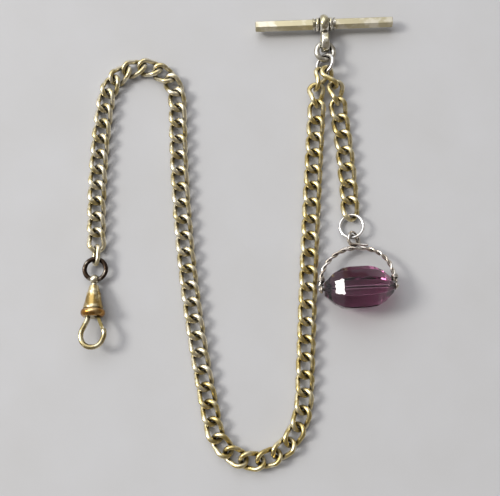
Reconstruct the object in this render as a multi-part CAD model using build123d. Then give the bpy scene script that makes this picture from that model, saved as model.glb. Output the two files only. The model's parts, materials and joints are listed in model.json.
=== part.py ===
"""Pocket watch chain with T-bar, swivel clip and stone fob, lying on a flat surface.

Millimetres, +Z up. Every piece is modelled on its own axes and hung on the piece before it:
local X runs down the chain, local Z is the normal of a ring's or link's plane.
The origin is the centre of the footprint, at the level of the surface.
"""
from build123d import *
from math import asin, atan2, cos, degrees, pi, radians, sin, tan
import os

# ---- fits -------------------------------------------------------------------------------
FIT = 0.03             # radial clearance between pieces pressed or soldered together
RUNNING = 0.10         # radial clearance of a piece that turns on another
WIRE_BUTT = 0.04       # gap where the two ends of a bent ring or link meet
ROUNDING = 0.98        # share of the room that a wire's bend takes up

# ---- T-bar ------------------------------------------------------------------------------
BAR_LENGTH = 38.0
BAR_ACROSS_FLATS = 2.7
BAR_SPINDLE = 2.0      # diameter of the round middle that carries the collars
BAR_EDGE = 0.18        # bevel at the ends
BAR_SKEW = 2.2         # degrees that the bar lies askew of the chain
COLLAR_BEAD = 3.8      # diameter
COLLAR_BEAD_WIDTH = 1.15
COLLAR_NECK = 2.9      # diameter of the groove between bead and rim
COLLAR_NECK_WIDTH = 0.35
COLLAR_RIM = 3.45      # diameter, a little over the bar's corners
COLLAR_RIM_WIDTH = 0.35
SHACKLE_BAND = 5.3     # diameter of the bead that turns on the spindle
SHACKLE_WIDTH = 2.3
EYE_LENGTH = 5.8       # outside, along the chain
EYE_HEIGHT = 4.7       # outside
EYE_WIRE = 1.1         # thickness in the eye's plane
EYE_DEPTH = 2.2        # thickness along the bar
EYE_REACH = 5.2        # from the bar's axis to the middle of the eye

# ---- rings ------------------------------------------------------------------------------
CONNECTOR_RING = 6.2   # outside diameters
CONNECTOR_WIRE = 1.45
JUMP_RING = 6.5
JUMP_WIRE = 0.95
FOB_RING = 7.0
FOB_RING_WIRE = 0.78
SWIVEL_RING = 6.8
SWIVEL_WIRE = 1.2
RING_SLACK = 0.25      # play between one ring and the next

# ---- curb links -------------------------------------------------------------------------
LINK_WIRE = 1.24
LINK_WIDTH = 4.95      # outside, flat on the table
LINK_PITCH = 4.75      # from link to link with the chain pulled tight
LINK_TWIST = 46.0      # degrees that each end is turned out of the link's plane
END_LINK_LENGTH = 6.0  # plain oval link between the chain and the swivel
END_LINK_WIDTH = 4.2
END_LINK_WIRE = 1.15
FOB_LINKS = 9

# How the main chain lies: number of links, degrees turned at each, play in each.
MAIN_LAY = (
    (17, 0.1, 0.17),
    (1, -4.5, 0.25),
    (1, -12.0, 0.35),
    (1, -14.0, 0.28),
    (2, -19.5, 0.30),
    (2, -25.0, 0.32),
    (2, -22.5, 0.30),
    (1, -1.0, 0.32),
    (18, -0.6, 0.29),
    (1, 6.0, 0.33),
    (1, 24.5, 0.38),
    (5, 25.5, 0.42),
    (1, 14.0, 0.42),
    (9, 1.1, 0.42),
)
FOB_LAY_TURN = -1.0    # degrees turned at each link of the fob chain
FOB_PLAY = 0.12        # play in each link of the fob chain

# Lies of the pieces at the top of the chain: heading, climb, roll in degrees.
CONNECTOR_LIE = (-94.0, 0.0, -10.0)
JUMP_LIE = (-92.0, 10.0, 45.0)
MAIN_FIRST_LIES = ((-108.0, 0.0, -64.0), (-88.0, -6.0, -30.0))
FOB_FIRST_LIES = ((-58.0, -12.0, -63.0), (-83.0, -8.5, -34.0))
MAIN_SEAT = -25.0      # degrees round the jump ring from its lowest point
FOB_SEAT = 15.0
MAIN_HEADING = -94.0   # heading of the first straight run
STEEPEST = 9.0         # steepest fall of a link that settles on the table

# ---- fob --------------------------------------------------------------------------------
STONE_LENGTH = 17.8
STONE_ACROSS = 11.6    # over the corners
STONE_SIDES = 8
STONE_STEPS = ((0.0, 0.31), (2.45, 0.73), (4.65, 0.94), (6.6, 1.0))  # from the end, share of radius
STONE_BORE = 0.95
FOB_HEADING = 3.0      # degrees that the stone's axis lies off the X axis
FOB_SIDE_GAP = 0.85    # between the bail and the chain beside it
AXLE_WIRE = 0.75
AXLE_HEAD = 1.3        # diameter of the peened heads
AXLE_HEAD_LENGTH = 0.45
BAIL_WIRE = 0.60       # each of the two strands
BAIL_RISE = 11.1       # from the stone's axis to the top of the arch
BAIL_TWISTS = 3.25     # turns on each side of the top
BAIL_FULLNESS = (1.95, 2.45)  # exponent of the arch on the left and on the right
BAIL_POINTS = 7        # points for each twist
LOOP_RADII = (1.65, 1.95)  # of the two turns of wire on top of the arch
LOOP_LIFT = 0.75       # from the arch's middle line to the loop's tails
LOOP_TAILS = (0.09, 0.03)  # shares of the arch at which the tails lie
LOOP_ROLL = 45.0       # degrees that the loops are turned out of the bail's plane
LOOP_POINTS = 11
FOB_RING_CLIMB = 5.0
FOB_RING_ROLL = 14.0

# ---- swivel clip ------------------------------------------------------------------------
POST_HEAD = 2.55       # diameter
POST_NECK = 1.25       # diameter
POST_HEAD_NECK = 0.35  # bare neck between the head and the cap
CAP_LENGTH = 2.05
CAP_TOP = 2.45          # diameters
CAP_BASE = 3.15
CONE_LENGTH = 4.2
CONE_TOP = 3.65
CONE_BASE = 5.2
CLIP_STEP = 0.35       # length of the grooves under the cap and round the cone's foot
COLLAR_WIDTH = 2.2     # of the bead at the clip's mouth
COLLAR_ACROSS = 6.35   # diameter of that bead
SPIGOT_STEP = 0.3      # radial step from the cone down to the spigot that carries the bead
CLIP_WALL = 0.3
RIVET_HEAD = 1.9       # diameter of the post's inner head
RIVET_HEAD_LENGTH = 0.5
HOOK_WIRE = 1.34
HOOK_LENGTH = 8.5      # below the bead, outside
HOOK_ACROSS = 7.35     # outside
HOOK_PLUG_LENGTH = 1.4
HOOK_GAP_RISE = 3.4    # from the bead to the hook's tip
GATE_WIDTH = 0.95      # along the gate's pin
GATE_THICKNESS = 0.8
GATE_EYE = 1.15        # diameter of the gate's eye round its pin
GATE_PIN = 0.5         # diameter
GATE_PIVOT_DEPTH = 0.6  # from the clip's mouth
GATE_PIVOT_OFFSET = 1.15 # from the clip's axis
GATE_OVERRUN = 0.7     # length of the slanted meeting of gate and hook, either way
GATE_TIP_GAP = 0.12
GATE_TIP_SLANT = 37.0  # degrees
SPRING_WIRE = 0.16
SPRING_TURNS = 2
CLIP_HEADING = -89.0
LAST_LINK_LIFT = 0.3   # the clip holds the chain's last curb link this far off the table
LAST_LINK_CLIMB = 3.0
END_LINK_LIE = (-92.0, 0.0, 61.0)
SWIVEL_RING_LIE = (-93.0, 0.0, 0.0)

# ---- worked out -------------------------------------------------------------------------
LINK_REACH = LINK_PITCH / 2 + LINK_WIRE / 2       # from a link's middle to its end, on the wire's axis
LINK_HALF = LINK_WIDTH / 2 - LINK_WIRE / 2
STONE_RADIUS = STONE_ACROSS / 2
STONE_AXIS_HEIGHT = STONE_RADIUS * cos(pi / STONE_SIDES)
BAIL_HALF_WIDTH = STONE_LENGTH / 2 + RUNNING + BAIL_WIRE + FIT
BAR_HEIGHT = SHACKLE_BAND / 2
EYE_SAG = (EYE_DEPTH / 2) ** 2 / (CONNECTOR_RING - CONNECTOR_WIRE)  # of the ring's curve within the eye

nodes = {}   # name -> shape in the assembly's frame
frames = {}  # name -> plane of the piece, for the joints


# ---- helpers ----------------------------------------------------------------------------
def heading_vector(heading, climb=0.0):
    """Unit vector at a heading from +X and a climb from the horizontal, in degrees."""
    return Vector(
        cos(radians(heading)) * cos(radians(climb)),
        sin(radians(heading)) * cos(radians(climb)),
        sin(radians(climb)),
    )


def lie(point, heading, climb=0.0, roll=0.0):
    """Plane whose X axis has the heading and climb, turned about that axis by roll."""
    along = heading_vector(heading, climb)
    across = Vector(-sin(radians(heading)), cos(radians(heading)), 0)
    normal = along.cross(across)
    turned = normal * cos(radians(roll)) - across * sin(radians(roll))
    return Plane(origin=point, x_dir=along, z_dir=turned)


def far_end(frame, reach):
    """Point on the wire's axis at the far end of a ring or link."""
    return frame.origin + frame.x_dir * reach


def hang(point, gap, reach, heading, climb=0.0, roll=0.0):
    """Frame of a ring or link whose near end hooks the wire whose axis passes through point."""
    along = heading_vector(heading, climb)
    return lie(point + along * (reach - gap), heading, climb, roll)


def bend_radii(points, share=ROUNDING):
    """Largest tangent arc at each inner point of a route."""
    radii = []
    for before, here, after in zip(points, points[1:], points[2:]):
        run_in = Vector(here) - Vector(before)
        run_out = Vector(after) - Vector(here)
        turn = radians(run_in.get_angle(run_out))
        radii.append(share * min(run_in.length, run_out.length) / 2 / tan(turn / 2))
    return radii


def wire(points, diameter, radii):
    """Round wire along straight runs joined by tangent arcs."""
    path = FilletPolyline(*points, radius=radii)
    section = Plane(origin=path @ 0, z_dir=path % 0) * Circle(diameter / 2)
    return sweep(section, path=path)


def butt_jointed(corners, diameter, radius):
    """Closed ring of wire, its ends butted in the middle of the side between first and last corner."""
    first, last = Vector(corners[0]), Vector(corners[-1])
    middle = (first + last) * 0.5
    half_gap = (first - last).normalized() * (WIRE_BUTT / 2)
    return wire([middle + half_gap, *corners, middle - half_gap], diameter, radius)


def turned(outline):
    """Solid of revolution round local X from the edges of a closed (x, radius) outline."""
    return revolve(make_face(outline), axis=Axis.X)


def round_ring(outside, diameter):
    """Butt-jointed round ring in the XY plane."""
    radius = outside / 2 - diameter / 2
    half_gap = degrees(WIRE_BUTT / 2 / radius)
    path = CenterArc((0, 0, 0), radius, 90 + half_gap, 360 - 2 * half_gap)
    section = Plane(origin=path @ 0, z_dir=path % 0) * Circle(diameter / 2)
    return sweep(section, path=path)


# ---- curb and oval links ----------------------------------------------------------------
def curb_link():
    """Link whose two ends are turned opposite ways out of its plane, so that the chain lies flat."""
    half = LINK_HALF / cos(radians(LINK_TWIST))
    side, height = LINK_HALF, half * sin(radians(LINK_TWIST))
    corners = [
        Vector(LINK_REACH, side, -height),
        Vector(LINK_REACH, -side, height),
        Vector(-LINK_REACH, -side, -height),
        Vector(-LINK_REACH, side, height),
    ]
    turn = radians((corners[1] - corners[0]).get_angle(corners[2] - corners[1]))
    return butt_jointed(corners, LINK_WIRE, ROUNDING * half / tan(turn / 2))


def oval_link():
    """Plain oval link in the XY plane."""
    reach = (END_LINK_LENGTH - END_LINK_WIRE) / 2
    side = (END_LINK_WIDTH - END_LINK_WIRE) / 2
    corners = [(reach, side, 0), (reach, -side, 0), (-reach, -side, 0), (-reach, side, 0)]
    return butt_jointed(corners, END_LINK_WIRE, ROUNDING * side)


def resting_height(shape, roll):
    """Height of a link's middle when its lowest point is on the table."""
    return -(Location((0, 0, 0), (roll, 0, 0)) * shape).bounding_box().min.Z


def settle(point, gap, reach, heading, height):
    """Frame of a link that falls towards its resting height, no steeper than STEEPEST."""
    wanted = (height - point.Z) / (2 * reach - gap)
    limit = sin(radians(STEEPEST))
    climb = degrees(asin(max(-limit, min(limit, wanted))))
    return hang(point, gap, reach, heading, climb)


def link_gap(play):
    """How far one link's wire passes inside the next."""
    return LINK_WIRE + play


def group(name, shapes):
    """One node that holds several separate solids."""
    nodes[name] = Compound(label=name, children=[Solid(s.solid().wrapped) for s in shapes])


# ---- T-bar ------------------------------------------------------------------------------
def collar(side):
    """Bead, groove and rim beside the shackle, from inside outwards."""
    start = SHACKLE_WIDTH / 2 + RUNNING
    bead_end = start + COLLAR_BEAD_WIDTH
    neck_end = bead_end + COLLAR_NECK_WIDTH
    rim_end = neck_end + COLLAR_RIM_WIDTH
    bore = BAR_SPINDLE / 2 + FIT
    bead_side = COLLAR_NECK / 2
    outline = [
        Line((start, bore), (start, bead_side)),
        ThreePointArc((start, bead_side), ((start + bead_end) / 2, COLLAR_BEAD / 2), (bead_end, bead_side)),
        Polyline(
            (bead_end, bead_side),
            (neck_end, bead_side),
            (neck_end, COLLAR_RIM / 2),
            (rim_end, COLLAR_RIM / 2),
            (rim_end, bore),
            (start, bore),
        ),
    ]
    ring = turned(outline)
    return ring if side > 0 else mirror(ring, about=Plane.YZ)


def collar_end():
    """Distance from the middle of the bar to the outside of a collar."""
    return SHACKLE_WIDTH / 2 + RUNNING + COLLAR_BEAD_WIDTH + COLLAR_NECK_WIDTH + COLLAR_RIM_WIDTH


def t_bar():
    """Hexagonal bar, flat side up, with a round spindle in the middle."""
    radius = BAR_ACROSS_FLATS / 2
    shoulder = collar_end() + FIT
    spindle = Plane.YZ * Cylinder(BAR_SPINDLE / 2, 2 * shoulder)
    section = Plane.YZ * RegularPolygon(radius, 6, major_radius=False)
    half = extrude(section, amount=BAR_LENGTH / 2 - shoulder)
    half = chamfer(half.faces().sort_by(Axis.X)[-1].edges(), BAR_EDGE)
    right = Pos(shoulder, 0, 0) * half
    return spindle + right + mirror(right, about=Plane.YZ)


def shackle():
    """Bead that turns on the spindle, with the eye that carries the chain, along local -Y."""
    half = SHACKLE_WIDTH / 2
    bore = BAR_SPINDLE / 2 + RUNNING
    crown = SHACKLE_BAND / 2
    shoulder = crown * 0.8
    outline = [
        Line((-half, bore), (-half, shoulder)),
        ThreePointArc((-half, shoulder), (0, crown), (half, shoulder)),
        Line((half, shoulder), (half, bore)),
        Line((half, bore), (-half, bore)),
    ]
    band = turned(outline)
    outer = Ellipse(EYE_LENGTH / 2, EYE_HEIGHT / 2)
    inner = Ellipse(EYE_LENGTH / 2 - EYE_WIRE, EYE_HEIGHT / 2 - EYE_WIRE)
    plate = extrude(outer - inner, amount=EYE_DEPTH / 2, both=True)
    plate = fillet(plate.edges(), EYE_WIRE * 0.42)
    plate = Plane(origin=(0, -EYE_REACH, 0), x_dir=(0, -1, 0), z_dir=(1, 0, 0)) * plate
    return band + plate


def build_t_bar():
    """Place the bar, its collars and the shackle."""
    frame = Plane(origin=(0, 0, BAR_HEIGHT), x_dir=heading_vector(BAR_SKEW), z_dir=(0, 0, 1))
    frames["t_bar"] = frame
    nodes["t_bar"] = frame.location * t_bar()
    nodes["bar_collar_left"] = frame.location * collar(-1)
    nodes["bar_collar_right"] = frame.location * collar(1)
    nodes["bar_shackle"] = frame.location * shackle()
    down = frame.y_dir * -1
    return frame.origin + down * (EYE_REACH + EYE_LENGTH / 2 - EYE_WIRE / 2 - EYE_SAG)


# ---- chain ------------------------------------------------------------------------------
def ring_frame(name, point, other_wire, outside, diameter, pose):
    """Hang a round ring on a wire and store it."""
    gap = (other_wire + diameter) / 2 + RING_SLACK
    frame = hang(point, gap, (outside - diameter) / 2, *pose)
    nodes[name] = frame.location * round_ring(outside, diameter)
    frames[name] = frame
    return frame


def jump_ring_seat(frame, angle):
    """Point on the jump ring's wire axis, angle degrees round from its lowest point."""
    radius = (JUMP_RING - JUMP_WIRE) / 2
    out = frame.x_dir * cos(radians(angle)) + frame.y_dir * sin(radians(angle))
    return frame.origin + out * radius


def first_links(seat, lies):
    """Frames of the turned links next to the jump ring."""
    result = []
    point, gap = seat, (JUMP_WIRE + LINK_WIRE) / 2 + RING_SLACK / 2
    for pose in lies:
        frame = hang(point, gap, LINK_REACH, *pose)
        result.append(frame)
        point, gap = far_end(frame, LINK_REACH), link_gap(RING_SLACK / 2)
    return result


def settled_links(result, heading, lay, height):
    """Add the links that lie on the table to the frames of the first ones."""
    for count, turn, play in lay:
        for _ in range(count):
            heading += turn
            point = far_end(result[-1], LINK_REACH)
            result.append(settle(point, link_gap(play), LINK_REACH, heading, height))
    return result


def lift_last(link_frames):
    """Raise the last link where the clip holds the chain's end off the table."""
    last = link_frames[-1]
    heading = degrees(atan2(last.x_dir.Y, last.x_dir.X))
    link_frames[-1] = lie(last.origin + Vector(0, 0, LAST_LINK_LIFT), heading, LAST_LINK_CLIMB)


def store_pairs(prefix, link, link_frames, first):
    """Store links two to a node, in order down the chain."""
    for number, index in enumerate(range(first, len(link_frames), 2), start=1):
        pair = link_frames[index:index + 2]
        name = f"{prefix}_{number:02d}"
        group(name, [frame.location * link for frame in pair])
        frames[name] = pair[0]


def build_fob_chain(link, jump, height, main_frames):
    """Lay the fob chain so that the bail clears the main chain beside it."""
    result = first_links(jump_ring_seat(jump, FOB_SEAT), FOB_FIRST_LIES)
    start = far_end(result[-1], LINK_REACH)
    count = FOB_LINKS - len(result)
    drop = count * (LINK_PITCH - FOB_PLAY) + FOB_RING + BAIL_RISE + LOOP_LIFT + 2 * LOOP_RADII[0]
    stone_y = start.Y - drop
    first_run = main_frames[:MAIN_LAY[0][0]]
    beside = [f.origin.X for f in first_run if abs(f.origin.Y - stone_y) < BAIL_RISE]
    stone_x = max(beside) + LINK_WIDTH / 2 + FOB_SIDE_GAP + BAIL_HALF_WIDTH + BAIL_WIRE
    heading = degrees(atan2(-drop, stone_x - start.X))
    lay = ((count, FOB_LAY_TURN, FOB_PLAY),)
    bow = -FOB_LAY_TURN * (count + 1) / 2
    settled_links(result, heading + bow, lay, height)
    nodes["fob_link_top"] = result[0].location * link
    frames["fob_link_top"] = result[0]
    store_pairs("fob_links", link, result, first=1)
    return result, heading


# ---- fob --------------------------------------------------------------------------------
def stone():
    """Faceted barrel along local X, drilled through, one of its flats downwards."""
    half = STONE_LENGTH / 2
    stations = [(-half + x, share) for x, share in STONE_STEPS]
    stations += [(half - x, share) for x, share in reversed(STONE_STEPS)]
    sections = [
        Plane(origin=(x, 0, 0), x_dir=(0, 1, 0), z_dir=(1, 0, 0))
        * RegularPolygon(STONE_RADIUS * share, STONE_SIDES, rotation=180 / STONE_SIDES)
        for x, share in stations
    ]
    barrel = loft(sections, ruled=True)
    return barrel - Plane.YZ * Cylinder(STONE_BORE / 2, STONE_LENGTH * 2)


def bail_axis(share):
    """Point and direction on the arch's middle line, share 0 at the left end and 1 at the right."""
    angle = pi * share
    power = 2 / BAIL_FULLNESS[0 if share < 0.5 else 1]
    foot = AXLE_WIRE / 2 + RUNNING / 2 + BAIL_WIRE * 1.3
    x = -BAIL_HALF_WIDTH * abs(cos(angle)) ** power * (1 if share < 0.5 else -1)
    return Vector(x, foot + (BAIL_RISE - foot) * sin(angle) ** power, 0)


def strand_point(share, phase):
    """Point on one strand of the twisted pair."""
    step = 1e-3
    along = bail_axis(min(1, share + step)) - bail_axis(max(0, share - step))
    outwards = Vector(-along.Y, along.X, 0).normalized()
    turn = 2 * pi * BAIL_TWISTS * 2 * (share - 0.5) + phase
    offset = BAIL_WIRE / 2 + 2 * FIT
    return bail_axis(share) + outwards * (offset * cos(turn)) + Vector(0, 0, offset * sin(turn))


def bail_strand(phase):
    """Strand of the twisted pair, from the left foot over the top to the right foot."""
    count = round(2 * BAIL_TWISTS * BAIL_POINTS)
    points = [strand_point(i / count, phase) for i in range(count + 1)]
    return wire(points, BAIL_WIRE, bend_radii(points))


def tail_point(share, depth):
    """Point of the loop's tails, which lie on top of the arch."""
    step = 1e-3
    along = bail_axis(share + step) - bail_axis(share - step)
    outwards = Vector(-along.Y, along.X, 0).normalized()
    return bail_axis(share) + outwards * LOOP_LIFT + Vector(0, 0, depth)


def bail_loop():
    """Wire wound twice over the top of the arch, where the fob ring hooks in."""
    lay = BAIL_WIRE + 2 * FIT
    top = bail_axis(0.5) + Vector(0, LOOP_LIFT, 0)
    points = [tail_point(0.5 - share, -lay) for share in LOOP_TAILS]
    for i in range(1, 2 * LOOP_POINTS):
        angle = 2 * pi * i / LOOP_POINTS
        radius = LOOP_RADII[0 if i < LOOP_POINTS else 1]
        depth = lay * (i / LOOP_POINTS - 1)
        across = radius * sin(angle)
        turn = radians(LOOP_ROLL) * abs(sin(angle / 2))
        points.append(top + Vector(
            across * cos(turn) + depth * sin(turn),
            radius * (1 - cos(angle)),
            depth * cos(turn) - across * sin(turn),
        ))
    points += [tail_point(0.5 + share, lay) for share in reversed(LOOP_TAILS)]
    return wire(points, BAIL_WIRE, bend_radii(points))


def bail_eyes():
    """Wire eyes round the axle at both ends of the stone."""
    radius = AXLE_WIRE / 2 + RUNNING / 2 + BAIL_WIRE / 2
    eye = Plane.YZ * Torus(radius, BAIL_WIRE / 2)
    return [Pos(side * BAIL_HALF_WIDTH, 0, 0) * eye for side in (-1, 1)]


def stone_axle():
    """Wire through the stone, peened outside the eyes."""
    end = BAIL_HALF_WIDTH + BAIL_WIRE / 2 + FIT
    tip = end + AXLE_HEAD_LENGTH
    half = [(0, AXLE_WIRE / 2), (end, AXLE_WIRE / 2), (end, AXLE_HEAD / 2), (tip, AXLE_HEAD / 4), (tip, 0)]
    mirrored = [(-x, radius) for x, radius in reversed(half[1:])]
    return turned([Polyline(*mirrored, *half[1:], close=True)])


def build_fob(last_link, heading):
    """Fob ring, bail and stone below the fob chain."""
    ring = ring_frame(
        "fob_jump_ring", far_end(last_link, LINK_REACH), LINK_WIRE, FOB_RING, FOB_RING_WIRE,
        (heading, FOB_RING_CLIMB, FOB_RING_ROLL),
    )
    hook_point = far_end(ring, (FOB_RING - FOB_RING_WIRE) / 2)
    inside = (FOB_RING_WIRE + BAIL_WIRE) / 2 + RING_SLACK
    reach = BAIL_RISE + LOOP_LIFT + 2 * LOOP_RADII[0] - inside
    drop = STONE_AXIS_HEIGHT - hook_point.Z
    level = (reach ** 2 - drop ** 2) ** 0.5
    down = heading_vector(FOB_HEADING - 90)
    centre = hook_point + down * level + Vector(0, 0, drop)
    up = (hook_point - centre).normalized()
    frame = Plane(origin=centre, x_dir=heading_vector(FOB_HEADING), z_dir=heading_vector(FOB_HEADING).cross(up))
    place = frame.location
    frames["bail_strand_a"] = frame
    nodes["bail_strand_a"] = place * bail_strand(pi / 2)
    nodes["bail_strand_b"] = place * bail_strand(-pi / 2)
    nodes["bail_loop"] = place * bail_loop()
    group("bail_end_eyes", [place * eye for eye in bail_eyes()])
    nodes["stone_axle"] = place * stone_axle()
    flat = Plane(origin=centre, x_dir=heading_vector(FOB_HEADING), z_dir=(0, 0, 1))
    frames["stone"] = flat
    nodes["stone"] = flat.location * stone()


# ---- swivel clip ------------------------------------------------------------------------
CAP_START = POST_HEAD / 2 + POST_HEAD_NECK
CONE_START = CAP_START + CAP_LENGTH
CONE_END = CONE_START + CONE_LENGTH
MOUTH = CONE_END + COLLAR_WIDTH
RIVET_START = CAP_START + CLIP_WALL * 2.5
BEAD_MIDDLE = CONE_END + COLLAR_WIDTH / 2
GATE_PIVOT = Vector(MOUTH - GATE_PIVOT_DEPTH, GATE_PIVOT_OFFSET, 0)
SPIGOT = CONE_BASE - 2 * SPIGOT_STEP
PLUG_RADIUS = SPIGOT / 2 - CLIP_WALL - FIT
HOOK_SIDE = (HOOK_ACROSS - HOOK_WIRE) / 2
HOOK_TIP = Vector(MOUTH + HOOK_GAP_RISE, HOOK_SIDE * 0.94, 0)
RING_SAG = (POST_HEAD / 2) ** 2 / (SWIVEL_RING - SWIVEL_WIRE)  # of the ring's curve within the head


def swivel_post():
    """Round head with a cross hole for the ring, neck and inner rivet head, along local X."""
    hole = SWIVEL_WIRE / 2 + RUNNING + RING_SAG / 2
    head = Sphere(POST_HEAD / 2) - Rot(90, 0, 0) * Cylinder(hole, POST_HEAD * 2)
    neck_start = hole + WIRE_BUTT
    neck_end = RIVET_START + RIVET_HEAD_LENGTH
    neck = Pos((neck_start + neck_end) / 2, 0, 0) * (Plane.YZ * Cylinder(POST_NECK / 2, neck_end - neck_start))
    rivet = Pos(RIVET_START + RIVET_HEAD_LENGTH / 2, 0, 0) * (
        Plane.YZ * Cylinder(RIVET_HEAD / 2, RIVET_HEAD_LENGTH)
    )
    return head + neck + rivet


def clip_body():
    """Turned cap and cone, hollow, with a spigot for the bead at its mouth."""
    bore = POST_NECK / 2 + RUNNING
    roof = RIVET_START - RUNNING
    hollow = RIVET_HEAD / 2 + RUNNING
    lower = SPIGOT / 2 - CLIP_WALL
    plug_top = MOUTH - HOOK_PLUG_LENGTH - FIT
    waist = CONE_TOP / 2 + (CONE_BASE - CONE_TOP) / 2 * 0.42
    outline = [
        Polyline(
            (CAP_START, bore),
            (CAP_START, CAP_TOP / 2 - CLIP_STEP / 2),
            (CAP_START + CLIP_STEP / 2, CAP_TOP / 2),
            (CONE_START - CLIP_STEP, CAP_BASE / 2),
            (CONE_START, CAP_BASE / 2),
            (CONE_START, CONE_TOP / 2),
        ),
        ThreePointArc(
            (CONE_START, CONE_TOP / 2),
            ((CONE_START + CONE_END) / 2, waist),
            (CONE_END - CLIP_STEP, CONE_BASE / 2),
        ),
        Polyline(
            (CONE_END - CLIP_STEP, CONE_BASE / 2),
            (CONE_END - FIT, CONE_BASE / 2),
            (CONE_END - FIT, SPIGOT / 2),
            (MOUTH, SPIGOT / 2),
            (MOUTH, lower),
            (plug_top, lower),
            (CONE_START + CLIP_WALL, hollow),
            (roof, hollow),
            (roof, bore),
            (CAP_START, bore),
        ),
    ]
    return turned(outline)


def clip_collar():
    """Rounded bead on the clip's mouth."""
    bore = SPIGOT / 2 + FIT
    crown = COLLAR_ACROSS / 2
    shoulder = crown * 0.74
    outline = [
        Line((CONE_END, bore), (CONE_END, shoulder)),
        ThreePointArc((CONE_END, shoulder), ((CONE_END + MOUTH) / 2, crown), (MOUTH, shoulder)),
        Line((MOUTH, shoulder), (MOUTH, bore)),
        Line((MOUTH, bore), (CONE_END, bore)),
    ]
    return turned(outline)


def hook_points():
    """Middle line of the hook from the plug round to the tip, in the clip's XY plane."""
    low = MOUTH + HOOK_LENGTH - HOOK_WIRE / 2
    leg = PLUG_RADIUS - HOOK_WIRE / 2 - FIT
    return [
        (MOUTH - HOOK_PLUG_LENGTH / 2, -leg, 0),
        (MOUTH + HOOK_WIRE / 2, -leg, 0),
        (low - HOOK_SIDE * 1.05, -HOOK_SIDE * 1.09, 0),
        (low, -HOOK_SIDE * 0.62, 0),
        (low, HOOK_SIDE * 0.62, 0),
        (low - HOOK_SIDE * 1.05, HOOK_SIDE * 1.09, 0),
        (HOOK_TIP.X - GATE_OVERRUN, HOOK_TIP.Y - GATE_OVERRUN * 0.15, 0),
    ]


def beyond_tip(side):
    """Block on the hook's side (1) or the gate's side (-1) of their slanted meeting."""
    size = HOOK_WIRE * 2
    return Pos(*HOOK_TIP) * Rot(0, 0, GATE_TIP_SLANT) * Pos(side * (size - GATE_TIP_GAP) / 2, 0, 0) * Box(
        size, size * 2, size
    )


def gate_slot():
    """Room that the gate and its spring need in the plug."""
    width = GATE_WIDTH + 2 * (SPRING_WIRE * (SPRING_TURNS + 1) + RUNNING)
    room = GATE_EYE + 2 * RUNNING
    return Pos(*GATE_PIVOT) * Pos(0, room / 2, 0) * Box(HOOK_PLUG_LENGTH * 2, room * 2, width)


def clip_hook():
    """Hook wire with the round plug that closes the body, slotted for the gate."""
    points = hook_points()
    bend = bend_radii(points)
    plug = Pos(MOUTH - HOOK_PLUG_LENGTH / 2, 0, 0) * (Plane.YZ * Cylinder(PLUG_RADIUS, HOOK_PLUG_LENGTH))
    pin_hole = Pos(*GATE_PIVOT) * Cylinder(GATE_PIN / 2 + FIT, SPIGOT)
    return wire(points, HOOK_WIRE, bend) - beyond_tip(-1) + (plug - gate_slot() - pin_hole)


def clip_gate():
    """Straight gate from its pin to the hook's tip, closed."""
    run = (HOOK_TIP - GATE_PIVOT).normalized()
    arm = trace(Line(GATE_PIVOT, HOOK_TIP + run * GATE_OVERRUN), GATE_THICKNESS)
    outline = arm + Pos(*GATE_PIVOT) * Circle(GATE_EYE / 2)
    outline -= Pos(*GATE_PIVOT) * Circle(GATE_PIN / 2 + RUNNING / 2)
    return extrude(outline, amount=GATE_WIDTH / 2, both=True) - beyond_tip(1)


def gate_pin():
    """Pin through the plug and the gate's eye."""
    half = (PLUG_RADIUS ** 2 - (GATE_PIVOT_OFFSET + GATE_PIN / 2) ** 2) ** 0.5
    return Pos(*GATE_PIVOT) * Cylinder(GATE_PIN / 2, 2 * half)


def gate_spring():
    """Small coil round the gate's pin."""
    radius = GATE_PIN / 2 + RUNNING + SPRING_WIRE / 2
    steps = 8
    start = (GATE_WIDTH + SPRING_WIRE) / 2 + FIT
    points = []
    for i in range(SPRING_TURNS * steps + 1):
        angle = 2 * pi * i / steps
        rise = start + (SPRING_WIRE + FIT) * i / steps
        points.append(GATE_PIVOT + Vector(radius * cos(angle), radius * sin(angle), rise))
    return wire(points, SPRING_WIRE, bend_radii(points))


def build_clip(last_link, oval):
    """Oval link, swivel ring, post and clip below the main chain."""
    reach = (END_LINK_LENGTH - END_LINK_WIRE) / 2
    gap = (LINK_WIRE + END_LINK_WIRE) / 2 + RING_SLACK / 2
    end = hang(far_end(last_link, LINK_REACH), gap, reach, *END_LINK_LIE)
    nodes["chain_end_link"] = end.location * oval
    frames["chain_end_link"] = end
    ring = ring_frame(
        "swivel_ring", far_end(end, reach), END_LINK_WIRE, SWIVEL_RING, SWIVEL_WIRE, SWIVEL_RING_LIE
    )
    head = far_end(ring, (SWIVEL_RING - SWIVEL_WIRE - RING_SAG) / 2)
    climb = degrees(asin((COLLAR_ACROSS / 2 - head.Z) / BEAD_MIDDLE))
    frame = lie(head, CLIP_HEADING, climb)
    frames["clip_body"] = frame
    for name, shape in (
        ("swivel_post", swivel_post()),
        ("clip_body", clip_body()),
        ("clip_collar", clip_collar()),
        ("clip_hook", clip_hook()),
        ("clip_gate", clip_gate()),
        ("gate_pin", gate_pin()),
        ("gate_spring", gate_spring()),
    ):
        nodes[name] = frame.location * shape


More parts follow.
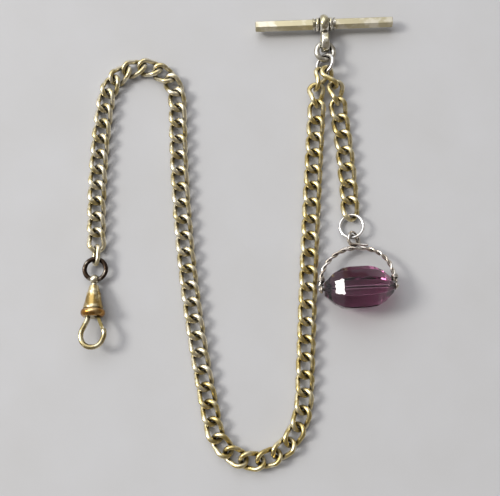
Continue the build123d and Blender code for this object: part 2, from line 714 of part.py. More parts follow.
def build():
    """Build every node, in order down the chain."""
    eye_end = build_t_bar()
    connector = ring_frame(
        "connector_ring", eye_end, EYE_WIRE, CONNECTOR_RING, CONNECTOR_WIRE, CONNECTOR_LIE
    )
    connector_end = far_end(connector, (CONNECTOR_RING - CONNECTOR_WIRE) / 2)
    jump = ring_frame("jump_ring", connector_end, CONNECTOR_WIRE, JUMP_RING, JUMP_WIRE, JUMP_LIE)
    link = curb_link()
    height = resting_height(link, 0)
    main_frames = first_links(jump_ring_seat(jump, MAIN_SEAT), MAIN_FIRST_LIES)
    settled_links(main_frames, MAIN_HEADING, MAIN_LAY, height)
    lift_last(main_frames)
    store_pairs("chain_links", link, main_frames, first=0)
    fob_frames, fob_heading = build_fob_chain(link, jump, height, main_frames)
    build_fob(fob_frames[-1], fob_heading)
    build_clip(main_frames[-1], oval_link())


def footprint_centre():
    """Middle of the assembly's footprint, at the level of its lowest point."""
    box = Compound(children=[Compound(shape.wrapped) for shape in nodes.values()]).bounding_box()
    return Vector((box.min.X + box.max.X) / 2, (box.min.Y + box.max.Y) / 2, box.min.Z)


build()
ORIGIN = footprint_centre()

if __name__ == "__main__":
    os.makedirs("parts", exist_ok=True)
    for name, shape in nodes.items():
        export_step(Pos(*(ORIGIN * -1)) * shape, f"parts/{name}.step")
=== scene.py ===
"""Looks of a pocket watch chain: worn gilt curb chain, T-bar, rings, swivel clip and glass fob stone.

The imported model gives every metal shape. This script gives each of them its finish, cuts the fob
stone with bevelled facets, and binds the feet of its bail with thin wire.
"""

import json
import logging
import math
from dataclasses import dataclass, field
from enum import Enum
from typing import Any, Callable

import bmesh
import bpy
from mathutils import Matrix, Vector

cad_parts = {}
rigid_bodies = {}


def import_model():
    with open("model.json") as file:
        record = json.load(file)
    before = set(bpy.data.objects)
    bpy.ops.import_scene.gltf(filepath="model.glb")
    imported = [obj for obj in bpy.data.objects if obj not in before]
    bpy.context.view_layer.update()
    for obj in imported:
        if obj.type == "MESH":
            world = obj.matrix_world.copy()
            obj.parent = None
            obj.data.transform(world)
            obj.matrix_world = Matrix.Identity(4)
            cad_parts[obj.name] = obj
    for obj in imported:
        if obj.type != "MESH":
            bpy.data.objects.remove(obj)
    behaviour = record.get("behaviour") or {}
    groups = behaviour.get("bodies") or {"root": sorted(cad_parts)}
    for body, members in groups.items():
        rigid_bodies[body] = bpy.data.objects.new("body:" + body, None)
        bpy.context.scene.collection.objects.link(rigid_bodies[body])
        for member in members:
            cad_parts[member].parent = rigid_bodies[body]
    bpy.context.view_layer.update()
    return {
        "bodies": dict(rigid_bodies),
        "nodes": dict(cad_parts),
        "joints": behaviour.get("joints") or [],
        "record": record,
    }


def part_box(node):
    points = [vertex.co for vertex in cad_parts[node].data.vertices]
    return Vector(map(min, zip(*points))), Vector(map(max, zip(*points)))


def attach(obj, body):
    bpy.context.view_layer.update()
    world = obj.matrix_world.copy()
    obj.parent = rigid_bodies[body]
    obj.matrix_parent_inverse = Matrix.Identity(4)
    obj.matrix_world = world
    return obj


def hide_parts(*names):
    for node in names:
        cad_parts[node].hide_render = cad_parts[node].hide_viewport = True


MM = 0.001
FLOOR_SIZE = 1.4  # metres, well past the view
SLICE = 0.35  # half the height, in mm, of the slice of wire whose middle is looked for
RUN_LENGTH = 1.2  # height, in mm, over which a foot's direction is read
TURN_SPACING = 0.97  # of the wire's thickness, so that the turns of a binding touch
END_MARGIN = 0.999  # faces beyond this share of the reach belong to the end
LOG = logging.getLogger("watch_chain")


# ---- colours and nodes -------------------------------------------------------------------
def linear(hex_code: str) -> tuple[float, float, float, float]:
    """Turn an sRGB hex colour to the linear values that shaders take.

    Args:
        hex_code: Colour as "#rrggbb".

    Returns:
        Linear red, green and blue, and full opacity.
    """
    channels = [int(hex_code[i:i + 2], 16) / 255 for i in (1, 3, 5)]
    values = [c / 12.92 if c <= 0.04045 else ((c + 0.055) / 1.055) ** 2.4 for c in channels]
    return (values[0], values[1], values[2], 1.0)


def add_node(
    tree: bpy.types.NodeTree,
    kind: str,
    settings: dict[str, Any] | None = None,
    inputs: dict[str | int, Any] | None = None,
) -> bpy.types.Node:
    """Add a shader node, set it up and link it.

    Args:
        tree: Node tree that gets the node.
        kind: Node type.
        settings: Attribute values of the node.
        inputs: Value, or output socket to link, for each named or numbered input.

    Returns:
        The new node.
    """
    node = tree.nodes.new(kind)
    for name, value in (settings or {}).items():
        setattr(node, name, value)
    for name, value in (inputs or {}).items():
        if isinstance(value, bpy.types.NodeSocket):
            tree.links.new(value, node.inputs[name])
        else:
            node.inputs[name].default_value = value
    return node


def new_material(name: str) -> tuple[bpy.types.Material, bpy.types.NodeTree]:
    """Make an empty node material.

    Args:
        name: Name of the material.

    Returns:
        The material and its node tree.
    """
    material = bpy.data.materials.new(name)
    material.use_nodes = True
    material.node_tree.nodes.clear()
    return material, material.node_tree


# ---- finishes ----------------------------------------------------------------------------
@dataclass(frozen=True)
class MetalFinish:
    """Bare or plated metal with wear on its open surfaces, dark specks, and oxide with painted shade in its
    hollows.

    Attributes:
        name: Plain name of the metal and how it was finished.
        body: Colour of the plating or metal.
        worn: Colour where hands have rubbed it.
        tarnish_and_shade: Colour of the oxide and specks, and of the painted shade, in the hollows.
        polish: Roughness of the rubbed surface.
        dull: Roughness where the specks and the painted shade lie.
        patch_mm: Size of the worn patches.
        wear: Share of the surface that is worn, 0 to 1.
        grime_and_shade: Strength of the painted shade in the hollows, and of the dark specks.
        shade_reach_mm: How narrow a hollow has to be to get painted shade.
        grain_mm: Size of the fine dents and marks.
        dent: Depth of the dents, in mm.
        lines_mm: Spacing of drawing or turning lines, or 0 for none.
    """

    name: str
    body: str
    worn: str
    tarnish_and_shade: str
    polish: float = 0.22
    dull: float = 0.5
    patch_mm: float = 2.4
    wear: float = 0.5
    grime_and_shade: float = 0.85
    shade_reach_mm: float = 1.5
    grain_mm: float = 0.35
    dent: float = 0.012
    lines_mm: float = 0.0

    def build(self, along: Vector | None = None) -> bpy.types.Material:
        """Make the material.

        Args:
            along: Direction of the drawing lines, where the finish has them.

        Returns:
            The finished material.
        """
        material, tree = new_material(self.name)
        coords = add_node(tree, "ShaderNodeTexCoord").outputs["Object"]
        patches, grain, specks = (
            add_node(
                tree, "ShaderNodeTexNoise", None,
                {"Vector": coords, "Scale": 1 / (size * MM), "Detail": 3.0, "Roughness": 0.55},
            ).outputs["Fac"]
            for size in (self.patch_mm, self.grain_mm, self.grain_mm * 0.35)
        )
        # painted shade: ambient occlusion darkens the grooves, the crossings of the links and the sides near
        # the floor, with some real oxide
        occlusion_shade = add_node(
            tree, "ShaderNodeAmbientOcclusion", {"samples": 8}, {"Distance": self.shade_reach_mm * MM}
        ).outputs["AO"]
        limit = 0.62 - self.wear * 0.35
        # rubbed where hands reach it, pitted in dark specks, and painted shade where grooves, crossing links
        # and the floor close it in
        rubbed, pits, hollow, uneven = (
            add_node(
                tree, "ShaderNodeMapRange", {"interpolation_type": "SMOOTHSTEP"},
                {"Value": value, "From Min": low, "From Max": high, "To Min": first, "To Max": last},
            ).outputs["Result"]
            for value, low, high, first, last in (
                (patches, limit, limit + 0.16, 0.0, 1.0),
                (specks, 0.66, 0.76, 0.0, self.grime_and_shade * 0.35),
                (occlusion_shade, 0.36, 0.88, self.grime_and_shade, 0.0),
                (grain, 0.3, 0.6, 0.7, 1.0),
            )
        )
        # painted shade from the occlusion, broken up by the grain, joined with the real dark specks
        hollow_shade = add_node(tree, "ShaderNodeMath", {"operation": "MULTIPLY"}, {0: hollow, 1: uneven}).outputs[0]
        specks_and_shade = add_node(tree, "ShaderNodeMath", {"operation": "MAXIMUM"}, {0: hollow_shade, 1: pits}).outputs[0]
        metal = add_node(
            tree, "ShaderNodeMix", {"data_type": "RGBA"},
            {0: rubbed, 6: linear(self.body), 7: linear(self.worn)},
        ).outputs[2]
        # the dark colour goes where the specks and the painted shade lie
        colour = add_node(
            tree, "ShaderNodeMix", {"data_type": "RGBA"}, {0: specks_and_shade, 6: metal, 7: linear(self.tarnish_and_shade)}
        ).outputs[2]
        base = add_node(
            tree, "ShaderNodeMapRange", None, {"Value": specks_and_shade, "To Min": self.polish, "To Max": self.dull}
        ).outputs["Result"]
        rough = add_node(
            tree, "ShaderNodeMath", {"operation": "MULTIPLY_ADD"}, {0: grain, 1: 0.10, 2: base}
        ).outputs[0]
        height = add_node(
            tree, "ShaderNodeMath", {"operation": "MULTIPLY_ADD"}, {0: specks, 1: 0.25, 2: grain}
        ).outputs[0]
        if self.lines_mm:
            turn = (along or Vector((0, 0, 1))).to_track_quat("X", "Z").to_euler()
            spacing = 1 / (self.lines_mm * MM)
            aligned = add_node(
                tree, "ShaderNodeMapping", {"vector_type": "TEXTURE"}, {"Vector": coords, "Rotation": turn}
            ).outputs["Vector"]
            stretched = add_node(
                tree, "ShaderNodeMapping", None,
                {"Vector": aligned, "Scale": (spacing * 0.04, spacing, spacing)},
            ).outputs["Vector"]
            drawn = add_node(
                tree, "ShaderNodeTexNoise", None, {"Vector": stretched, "Scale": 1.0, "Detail": 2.0}
            ).outputs["Fac"]
            height = add_node(
                tree, "ShaderNodeMath", {"operation": "MULTIPLY_ADD"}, {0: drawn, 1: 0.8, 2: height}
            ).outputs[0]
        bump = add_node(
            tree, "ShaderNodeBump", None,
            {"Height": height, "Strength": 0.6, "Distance": self.dent * MM},
        ).outputs["Normal"]
        shader = add_node(
            tree, "ShaderNodeBsdfPrincipled", None,
            {"Base Color": colour, "Metallic": 1.0, "Roughness": rough, "Normal": bump},
        )
        add_node(tree, "ShaderNodeOutputMaterial", None, {"Surface": shader.outputs[0]})
        return material


@dataclass(frozen=True)
class GlassFinish:
    """Coloured glass, cut and polished, that takes its colour from its depth.

    Attributes:
        name: Plain name.
        surface: Tint of what passes the surface.
        depth: Colour that the glass lets through.
        density: How strongly it absorbs, per metre.
        polish: Roughness of the facets.
        haze: Roughness where the facets are scuffed.
    """

    name: str = "plum glass, cut and polished"
    surface: str = "#f6e6f0"
    depth: str = "#b64e93"
    density: float = 130.0
    polish: float = 0.02
    haze: float = 0.12

    def build(self) -> bpy.types.Material:
        """Make the material, with fine scuffs on the polished facets."""
        # sharp window reflections over a dark plum depth, pinker where the glass is thin
        material, tree = new_material(self.name)
        coords = add_node(tree, "ShaderNodeTexCoord").outputs["Object"]
        scuffs, waves = (
            add_node(
                tree, "ShaderNodeTexNoise", None,
                {"Vector": coords, "Scale": 1 / (size * MM), "Detail": detail},
            ).outputs["Fac"]
            for size, detail in ((0.5, 4.0), (3.5, 1.0))
        )
        rough = add_node(
            tree, "ShaderNodeMapRange", {"interpolation_type": "SMOOTHSTEP"},
            {
                "Value": scuffs, "From Min": 0.56, "From Max": 0.75,
                "To Min": self.polish, "To Max": self.haze,
            },
        ).outputs["Result"]
        bump = add_node(
            tree, "ShaderNodeBump", None, {"Height": waves, "Strength": 0.35, "Distance": 0.06 * MM}
        ).outputs["Normal"]
        shader = add_node(
            tree, "ShaderNodeBsdfPrincipled", None,
            {
                "Base Color": linear(self.surface), "Roughness": rough, "IOR": 1.54,
                "Transmission Weight": 1.0, "Normal": bump,
            },
        )
        volume = add_node(
            tree, "ShaderNodeVolumeAbsorption", None, {"Color": linear(self.depth), "Density": self.density}
        )
        add_node(
            tree, "ShaderNodeOutputMaterial", None,
            {"Surface": shader.outputs[0], "Volume": volume.outputs[0]},
        )
        return material


class Metal(Enum):
    """The metals of the chain, each as it has worn."""

    # pale straw grey in long fine lines, so that the bar shines along its length and not across it
    BAR = MetalFinish(
        "nickel silver bar, drawn", "#c3b998", "#ddd6c2", "#4c4226",
        polish=0.26, wear=0.5, patch_mm=4.0, lines_mm=0.12, grime_and_shade=0.6,
    )
    # bright rounded beads with near-black painted shade in the grooves, which makes each turned step read
    MOUNT = MetalFinish(
        "nickel silver mount, turned", "#bfb696", "#f2eddf", "#241c0c",
        polish=0.15, wear=0.6, grime_and_shade=1.0, shade_reach_mm=1.6,
    )
    # soft grey glints and painted shade on the edges, towards the floor and the neighbouring rings: thicker
    # and duller than the ring below it
    CONNECTOR = MetalFinish(
        "dull silver ring", "#b5ae9e", "#e0dcd0", "#241e15", polish=0.24, wear=0.5, grime_and_shade=1.0, shade_reach_mm=3.0,
    )
    # near-white highlights on a thin wire, the brightest metal of the chain, with painted shade on its sides
    # towards the floor
    RING = MetalFinish(
        "bright silver wire", "#ddd6cc", "#fbf8f4", "#33281e",
        polish=0.12, wear=0.7, grime_and_shade=0.95, shade_reach_mm=3.0,
    )
    # warm straw yellow on the rounds and brown-black painted shade where one link passes through the next
    GILT = MetalFinish(
        "gilt curb chain, worn", "#cdb97c", "#f1e5bd", "#241804", polish=0.25, wear=0.52, grime_and_shade=1.0,
    )
    # the same links with the gilding handled off, so paler and greyer with the same painted shade at the
    # crossings
    GILT_WORN = MetalFinish(
        "gilt curb chain, rubbed pale", "#cdbd8b", "#f3ead0", "#221708", polish=0.25, wear=0.62, grime_and_shade=1.0,
    )
    # almost black, with grey rubbed patches; painted shade darkens its hole and the sides near the floor, so
    # that the outside reads as a paler rim
    DARK = MetalFinish(
        "oxidised silver ring", "#3c3027", "#9d9487", "#0e0703",
        polish=0.24, wear=0.25, grime_and_shade=1.0, shade_reach_mm=3.0,
    )
    # pale, smooth head with a line of painted shade where it enters the cap
    POST = MetalFinish(
        "turned brass, rubbed pale", "#b8a77d", "#ece3c9", "#2c1f0e", polish=0.17, wear=0.6, grime_and_shade=1.0,
        shade_reach_mm=2.4,
    )
    # brown-gold cone with bright turned rims and painted shade in its grooves
    CLIP = MetalFinish(
        "turned brass, browned", "#a58a52", "#e6d6ac", "#2e1e0b", polish=0.2, wear=0.45, grime_and_shade=1.0,
        shade_reach_mm=2.4,
    )
    # the deepest orange-brown of the clip, with one soft highlight round it
    BEAD = MetalFinish(
        "turned brass bead, browned", "#9c6f33", "#dfc08a", "#281806", polish=0.2, wear=0.4, grime_and_shade=1.0,
        shade_reach_mm=2.4,
    )
    # dull straw wire with a broad soft highlight, and brown painted shade towards its root
    HOOK = MetalFinish(
        "brass wire hook, worn", "#a8986c", "#dcd1ae", "#2c210e", polish=0.22, wear=0.5, grime_and_shade=1.0,
        shade_reach_mm=2.4,
    )
    # darker than the hook, so the gate reads as a separate piece
    GATE = MetalFinish(
        "brass gate, dark", "#76683f", "#d0c6a4", "#1e1506", polish=0.22, wear=0.35, grime_and_shade=1.0,
        shade_reach_mm=1.6,
    )
    # silver ridges with dark brown painted shade in the grooves, which draws the twist
    BAIL = MetalFinish(
        "silver wire, painted shade in its twists", "#c4b9ab", "#f2ece4", "#1f130c",
        polish=0.18, wear=0.5, grime_and_shade=1.0, shade_reach_mm=0.9,
    )
    # plain grey, hardly seen inside the mouth of the clip
    STEEL = MetalFinish(
        "spring steel", "#8a8884", "#b4b2ae", "#2a2622", polish=0.25, wear=0.4,
    )


# ---- modelling helpers -------------------------------------------------------------------
@dataclass(frozen=True)
class Axes:
    """Right-handed axes of a sub-assembly, x along it.

    Attributes:
        origin: Origin in metres.
        x: Unit direction along the piece.
        y: Unit direction across it.
        z: Third direction.
    """

    origin: Vector
    x: Vector
    y: Vector
    z: Vector

    @classmethod
    def make(cls, origin: Vector, along: Vector, towards: Vector) -> "Axes":
        """Axes with x along one direction and y nearest to another."""
        x = along.normalized()
        z = x.cross(towards).normalized()
        return cls(origin, x, z.cross(x).normalized(), z)

    def point(self, x: float, y: float = 0.0, z: float = 0.0) -> Vector:
        """Point at local millimetres, in metres of the frame."""
        return self.origin + (self.x * x + self.y * y + self.z * z) * MM

    def matrix(self) -> Matrix:
        """Matrix that takes local metres to the frame."""
        turned = Matrix((self.x, self.y, self.z)).transposed().to_4x4()
        return Matrix.Translation(self.origin) @ turned


def deselect() -> None:
    """Clear the selection, as operators act on all that is selected."""
    if bpy.context.object and bpy.context.object.mode != "OBJECT":
        bpy.ops.object.mode_set(mode="OBJECT")
    bpy.ops.object.select_all(action="DESELECT")


def select_faces(piece: bpy.types.Object, test: Callable[[Any], bool]) -> None:
    """Select the faces of a piece in edit mode that pass a test.

    Args:
        piece: Object in edit mode.
        test: Says whether a face is wanted.
    """
    bpy.ops.mesh.select_all(action="DESELECT")
    bpy.ops.mesh.select_mode(type="FACE")
    mesh = bmesh.from_edit_mesh(piece.data)
    for face in mesh.faces:
        face.select_set(test(face))
    bmesh.update_edit_mesh(piece.data)


def apply_modifier(piece: bpy.types.Object, kind: str, **settings: Any) -> None:
    """Add a modifier to a piece and apply it.

    Args:
        piece: Object that gets it.
        kind: Modifier type.
        **settings: Its settings.
    """
    modifier = piece.modifiers.new(kind.lower(), kind)
    for name, value in settings.items():
        setattr(modifier, name, value)
    bpy.context.view_layer.objects.active = piece
    bpy.ops.object.modifier_apply(modifier=modifier.name)


def finish_piece(
    piece: bpy.types.Object, name: str, place: Matrix, body: str, material: bpy.types.Material,
    smooth_deg: float = 35.0,
) -> bpy.types.Object:
    """Put a modelled piece in its place, name it, dress it and hang it on a body.

    Args:
        piece: Modelled object, in local metres.
        name: Name of the piece.
        place: Matrix from local metres to the frame.
        body: Body that it moves with.
        material: Its material.
        smooth_deg: Edges sharper than this stay sharp.

    Returns:
        The finished object.
    """
    piece.name = name
    piece.data.name = name
    piece.data.transform(place @ piece.matrix_world)
    piece.matrix_world = Matrix.Identity(4)
    deselect()
    piece.select_set(True)
    bpy.context.view_layer.objects.active = piece
    bpy.ops.object.mode_set(mode="EDIT")
    bpy.ops.mesh.select_all(action="SELECT")
    bpy.ops.mesh.normals_make_consistent(inside=False)
    bpy.ops.object.mode_set(mode="OBJECT")
    bpy.ops.object.shade_smooth_by_angle(angle=math.radians(smooth_deg))
    piece.data.materials.clear()
    piece.data.materials.append(material)
    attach(piece, body)
    LOG.info("%s: %d faces, rides on %s", name, len(piece.data.polygons), body)
    return piece


def joint(frame: dict[str, Any], name: str) -> tuple[Vector, Vector]:
    """Place and direction of a joint.

    Args:
        name: Joint's name.

    Returns:
        Point on the joint's axis, in metres, and the axis.
    """
    for entry in frame["joints"]:
        if entry["name"] == name:
            return Vector(entry["pos_m"]), Vector(entry["axis"]).normalized()
    raise KeyError(name)


def centre(node: str) -> Vector:
    """Middle of a node's box."""
    low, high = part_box(node)
    return (Vector(low) + Vector(high)) / 2


@dataclass
class Workshop:
    """Holds the frame and the materials, each made once.

    Attributes:
        made: Materials by key.
    """

    frame: dict[str, Any]
    made: dict[str, bpy.types.Material] = field(default_factory=dict)

    def metal(self, metal: Metal, along: Vector | None = None) -> bpy.types.Material:
        """Material of a metal, made on first use.

        Args:
            metal: Which metal.
            along: Direction of its drawing lines, where it has them.

        Returns:
            The material.
        """
        if metal.name not in self.made:
            self.made[metal.name] = metal.value.build(along)
        return self.made[metal.name]

    def dress(self, node: str, material: bpy.types.Material) -> None:
        """Give a CAD node its material.

        Args:
            node: Node's name.
            material: Material for all its faces.
        """
        piece = self.frame["nodes"][node]
        slots = piece.material_slots
        if not slots:
            piece.data.materials.append(material)
        for slot in slots:
            slot.material = material
        LOG.info("%s: %s", node, material.name)


# ---- sub-assemblies ----------------------------------------------------------------------
@dataclass
class TBar:
    """Bar with its collars and the turning shackle."""

    collars: tuple[str, str] = ("bar_collar_left", "bar_collar_right")

    def build(self, shop: Workshop) -> None:
        """Dress the bar and its mounts."""
        _, along = joint(shop.frame, "shackle_turn")
        shop.dress("t_bar", shop.metal(Metal.BAR, along))
        for node in (*self.collars, "bar_shackle"):
            shop.dress(node, shop.metal(Metal.MOUNT))


@dataclass
class Chains:
    """Main chain and fob chain of curb links, and the rings between them."""

    gilt_nodes: int = 15
    nodes: int = 32
    fob_nodes: int = 4

    def build(self, shop: Workshop) -> None:
        """Dress the links and rings."""
        for number in range(1, self.nodes + 1):
            metal = Metal.GILT if number <= self.gilt_nodes else Metal.GILT_WORN
            shop.dress(f"chain_links_{number:02d}", shop.metal(metal))
        for number in range(1, self.fob_nodes + 1):
            shop.dress(f"fob_links_{number:02d}", shop.metal(Metal.GILT))
        shop.dress("fob_link_top", shop.metal(Metal.GILT))
        shop.dress("chain_end_link", shop.metal(Metal.GILT_WORN))
        shop.dress("connector_ring", shop.metal(Metal.CONNECTOR))
        shop.dress("jump_ring", shop.metal(Metal.RING))
        shop.dress("fob_jump_ring", shop.metal(Metal.RING))
        shop.dress("swivel_ring", shop.metal(Metal.DARK))


@dataclass
class Fob:
    """Stone cut with bevelled facets, in its bail of twisted wire.

    Attributes:
        length: Length of the stone, in mm.
        across: Width over its corners.
        sides: Number of sides.
        steps: Distance from the end and share of the radius, at each girdle.
        bore: Diameter of the hole for the axle.
        facet_edge: Width of the polished edge between two facets.
        strands: The two wires of the bail.
        wrap_rise: Height of the binding over the stone's axis.
        wrap_turns: Turns of the binding.
        wrap_wire: Thickness of its wire.
        wrap_radius: Radius of its turns, to the middle of the wire.
    """

    length: float = 17.8
    across: float = 11.6
    sides: int = 8
    steps: tuple[tuple[float, float], ...] = ((0.0, 0.31), (2.45, 0.73), (4.65, 0.94), (6.6, 1.0))
    bore: float = 0.95
    facet_edge: float = 0.16
    strands: tuple[str, str] = ("bail_strand_a", "bail_strand_b")
    wrap_rise: float = 2.3
    wrap_turns: int = 3
    wrap_wire: float = 0.3
    wrap_radius: float = 0.76

    def build(self, shop: Workshop) -> None:
        """Dress the bail and cut the stone."""
        for node in (*self.strands, "bail_loop", "bail_end_eyes", "stone_axle"):
            shop.dress(node, shop.metal(Metal.BAIL))
        self.stone(shop)
        for side, name in ((-1, "left"), (1, "right")):
            self.wrap(shop, side, name)

    def stone(self, shop: Workshop) -> bpy.types.Object:
        """Cut the stone from a rod: draw out both ends, drill them and polish the edges."""
        origin, along = joint(shop.frame, "stone_spin")
        axes = Axes.make(origin, along, Vector((0, 1, 0)))
        deselect()
        waist = self.length - 2 * self.steps[-1][0]
        bpy.ops.mesh.primitive_cylinder_add(
            vertices=self.sides, radius=self.across / 2 * MM, depth=waist * MM, end_fill_type="NGON",
        )
        rod = bpy.context.object
        rod.data.transform(Matrix.Rotation(math.pi / 2, 4, "Y"))
        rod.data.transform(Matrix.Rotation(math.pi / self.sides, 4, "X"))
        bpy.ops.object.mode_set(mode="EDIT")
        for side in (-1, 1):
            self.draw_end(rod, side, waist / 2)
        bpy.ops.object.mode_set(mode="OBJECT")
        self.drill(rod)
        apply_modifier(
            rod, "BEVEL", width=self.facet_edge / 2 * MM, segments=2, limit_method="ANGLE",
            angle_limit=math.radians(8), use_clamp_overlap=True,
        )
        stone = finish_piece(
            rod, "cut_stone", axes.matrix(), "stone", GlassFinish().build(), smooth_deg=4.0
        )
        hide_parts("stone")
        return stone

    def strand_middle(self, shop: Workshop, axes: Axes, side: int, rise: float) -> Vector:
        """Middle of the twisted wires at a height over the stone's axis, in local mm.

        Args:
            shop: Workshop with the frame.
            axes: Axes of the stone.
            side: -1 or 1 for the foot.
            rise: Height over the axis, in mm.

        Returns:
            Middle of all vertices within a slice of the wires.
        """
        place = axes.matrix().inverted()
        found = []
        for node in self.strands:
            for vertex in shop.frame["nodes"][node].data.vertices:
                point = place @ vertex.co / MM
                if point.x * side > 0 and abs(point.y - rise) < SLICE:
                    found.append(point)
        low = Vector(min(p[i] for p in found) for i in range(3))
        high = Vector(max(p[i] for p in found) for i in range(3))
        return (low + high) / 2

    def wrap(self, shop: Workshop, side: int, name: str) -> bpy.types.Object:
        """Bind one foot of the bail with a few turns of thin wire.

        Args:
            shop: Workshop with the frame and the materials.
            side: -1 or 1 for the foot.
            name: Name of that side.

        Returns:
            The finished binding.
        """
        origin, along = joint(shop.frame, "stone_spin")
        top = centre("bail_loop") - origin
        axes = Axes.make(origin, along, top)
        start = self.strand_middle(shop, axes, side, self.wrap_rise)
        end = self.strand_middle(shop, axes, side, self.wrap_rise + RUN_LENGTH)
        run = (end - start).normalized()
        turn = run.to_track_quat("Z", "Y").to_matrix().to_4x4()
        deselect()
        rings = []
        for number in range(self.wrap_turns):
            bpy.ops.mesh.primitive_torus_add(
                major_segments=40, minor_segments=14, major_radius=self.wrap_radius * MM,
                minor_radius=self.wrap_wire / 2 * MM,
            )
            ring = bpy.context.object
            lean = Matrix.Rotation(math.radians(5 + 2 * number), 4, "X")
            middle = start + run * (number * self.wrap_wire * TURN_SPACING)
            ring.data.transform(Matrix.Translation(middle * MM) @ turn @ lean)
            rings.append(ring)
        deselect()
        for ring in rings:
            ring.select_set(True)
        bpy.context.view_layer.objects.active = rings[0]
        bpy.ops.object.join()
        return finish_piece(
            rings[0], f"bail_binding_{name}", axes.matrix(), "bail", shop.metal(Metal.BAIL)
        )

    def draw_end(self, rod: bpy.types.Object, side: int, reach: float) -> None:
        """Draw out one end through the girdles, each with its own taper.

        Args:
            rod: Rod in edit mode.
            side: -1 or 1 for the end.
            reach: Distance from the middle to the end so far, in mm.
        """
        share = 1.0
        for distance, next_share in reversed(self.steps[:-1]):
            edge = reach * MM * END_MARGIN
            select_faces(
                rod,
                lambda face: face.calc_center_median().x * side > edge and abs(face.normal.x) > 0.9,
            )
            target = self.length / 2 - distance
            move = (side * (target - reach) * MM, 0, 0)
            bpy.ops.mesh.extrude_region_move(TRANSFORM_OT_translate={"value": move})
            scale = next_share / share
            bpy.ops.transform.resize(value=(1, scale, scale))
            reach, share = target, next_share

    def drill(self, rod: bpy.types.Object) -> None:
        """Drill the hole for the axle, end to end."""
        deselect()
        bpy.ops.mesh.primitive_cylinder_add(
            vertices=32, radius=self.bore / 2 * MM, depth=self.length * 1.2 * MM,
            rotation=(0, math.pi / 2, 0),
        )
        drill = bpy.context.object
        apply_modifier(rod, "BOOLEAN", object=drill, operation="DIFFERENCE", solver="EXACT")
        bpy.data.objects.remove(drill)


@dataclass
class SwivelClip:
    """Swivel post, turned body, hook and gate."""

    def build(self, shop: Workshop) -> None:
        """Dress the clip."""
        for node, metal in (
            ("swivel_post", Metal.POST), ("clip_body", Metal.CLIP), ("clip_collar", Metal.BEAD),
            ("clip_hook", Metal.HOOK), ("clip_gate", Metal.GATE), ("gate_pin", Metal.HOOK),
        ):
            shop.dress(node, shop.metal(metal))
        shop.dress("gate_spring", shop.metal(Metal.STEEL))


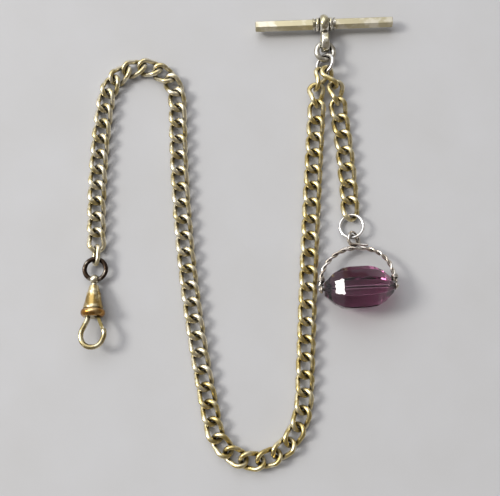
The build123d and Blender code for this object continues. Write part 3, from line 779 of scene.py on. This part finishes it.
# ---- studio ------------------------------------------------------------------------------
@dataclass
class Studio:
    """Floor, lamps, world and camera.

    Attributes:
        tilt_deg: Angle of the view from straight down.
        distance: Distance from the camera to the floor, in mm.
        lens: Focal length of the camera for a 36 mm frame.
        aim: Point that the camera looks at, from the middle of the T-bar, in mm.
        paper: Colour of the floor.
        mottle: Colour of the floor's faint clouds.
    """

    tilt_deg: float = 9.1
    distance: float = 198.5
    lens: float = 53.33
    aim: tuple[float, float] = (-20.5, -62.5)
    paper: str = "#c9c9cb"
    mottle: str = "#bfbebd"

    def build(self) -> None:
        """Build the whole studio."""
        bar = centre("t_bar")
        target = Vector((bar.x + self.aim[0] * MM, bar.y + self.aim[1] * MM, 0))
        self.camera(target)
        self.floor(target)
        self.lamps(target)
        self.world()
        bpy.context.scene.view_settings.view_transform = "Standard"

    def camera(self, target: Vector) -> None:
        """Add the camera, looking down at the chain."""
        tilt = math.radians(self.tilt_deg)
        data = bpy.data.cameras.new("camera")
        data.lens = self.lens
        data.sensor_width = 36.0
        data.clip_start = 0.005
        camera = bpy.data.objects.new("camera", data)
        camera.location = target + Vector((0, -math.sin(tilt), math.cos(tilt))) * self.distance * MM
        camera.rotation_euler = (tilt, 0, 0)
        bpy.context.scene.collection.objects.link(camera)
        bpy.context.scene.camera = camera

    def floor(self, target: Vector) -> None:
        """Lay the floor, a sheet of pale card with a faint mottle."""
        deselect()
        bpy.ops.mesh.primitive_plane_add(size=FLOOR_SIZE, location=(target.x, target.y, 0))
        floor = bpy.context.object
        floor.name = "floor"
        # even pale grey with the faintest clouds, so that the shadows show and nothing competes
        material, tree = new_material("pale card")
        coords = add_node(tree, "ShaderNodeTexCoord").outputs["Object"]
        mottle, fibre = (
            add_node(
                tree, "ShaderNodeTexNoise", None,
                {"Vector": coords, "Scale": 1 / (size * MM), "Detail": 4.0},
            ).outputs["Fac"]
            for size in (22.0, 0.8)
        )
        colour = add_node(
            tree, "ShaderNodeMix", {"data_type": "RGBA"},
            {0: mottle, 6: linear(self.paper), 7: linear(self.mottle)},
        ).outputs[2]
        bump = add_node(
            tree, "ShaderNodeBump", None, {"Height": fibre, "Strength": 0.15, "Distance": 0.05 * MM}
        ).outputs["Normal"]
        shader = add_node(
            tree, "ShaderNodeBsdfPrincipled", None,
            {"Base Color": colour, "Roughness": 0.7, "Specular IOR Level": 0.2, "Normal": bump},
        )
        add_node(tree, "ShaderNodeOutputMaterial", None, {"Surface": shader.outputs[0]})
        floor.data.materials.append(material)

    def lamps(self, target: Vector) -> None:
        """Hang a window-like lamp low on the left and a broad soft one above the far side."""
        self.lamp("window", target, Vector((-0.76, 0.11, 0.64)), 1.6, (0.42, 0.42), 15.0, "#fffdf8")
        self.lamp("sky", target, Vector((-0.35, 0.55, 0.76)), 1.5, (1.5, 1.2), 9.5, "#f7f9ff")

    def lamp(
        self, name: str, target: Vector, direction: Vector, distance: float, size: tuple[float, float],
        watts: float, colour: str,
    ) -> None:
        """Add an area lamp that points at the chain.

        Args:
            name: Lamp's name.
            target: Point that it lights.
            direction: Direction from that point to the lamp.
            distance: Its distance, in metres.
            size: Its width and height, in metres.
            watts: Its power.
            colour: Its colour.
        """
        data = bpy.data.lights.new(name, "AREA")
        data.shape = "RECTANGLE"
        data.size, data.size_y = size
        data.energy = watts
        data.color = linear(colour)[:3]
        lamp = bpy.data.objects.new(name, data)
        lamp.location = target + direction.normalized() * distance
        lamp.rotation_euler = direction.to_track_quat("Z", "Y").to_euler()
        bpy.context.scene.collection.objects.link(lamp)

    def world(self) -> None:
        """Light from the room: bright on the lamps' side, dim on the other side and overhead."""
        world = bpy.data.worlds.new("room")
        bpy.context.scene.world = world
        world.use_nodes = True
        tree = world.node_tree
        tree.nodes.clear()
        coords = add_node(tree, "ShaderNodeTexCoord").outputs["Generated"]
        facing = add_node(
            tree, "ShaderNodeVectorMath", {"operation": "DOT_PRODUCT"}, {0: coords, 1: (-0.62, 0.70, 0.10)}
        ).outputs["Value"]
        bright = add_node(
            tree, "ShaderNodeMapRange", {"interpolation_type": "SMOOTHSTEP"},
            {"Value": facing, "From Min": -0.35, "From Max": 0.85},
        ).outputs["Result"]
        colour = add_node(
            tree, "ShaderNodeMix", {"data_type": "RGBA"},
            {0: bright, 6: linear("#7c7772"), 7: linear("#eceef2")},
        ).outputs[2]
        background = add_node(tree, "ShaderNodeBackground", None, {"Color": colour, "Strength": 1.0})
        add_node(tree, "ShaderNodeOutputWorld", None, {"Surface": background.outputs[0]})


def main() -> None:
    """Build the looks."""
    logging.basicConfig(level=logging.INFO, format="%(name)s %(message)s")
    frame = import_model()
    shop = Workshop(frame)
    for part in (TBar(), Chains(), Fob(), SwivelClip()):
        part.build(shop)
    Studio().build()


if __name__ == "__main__":
    main()
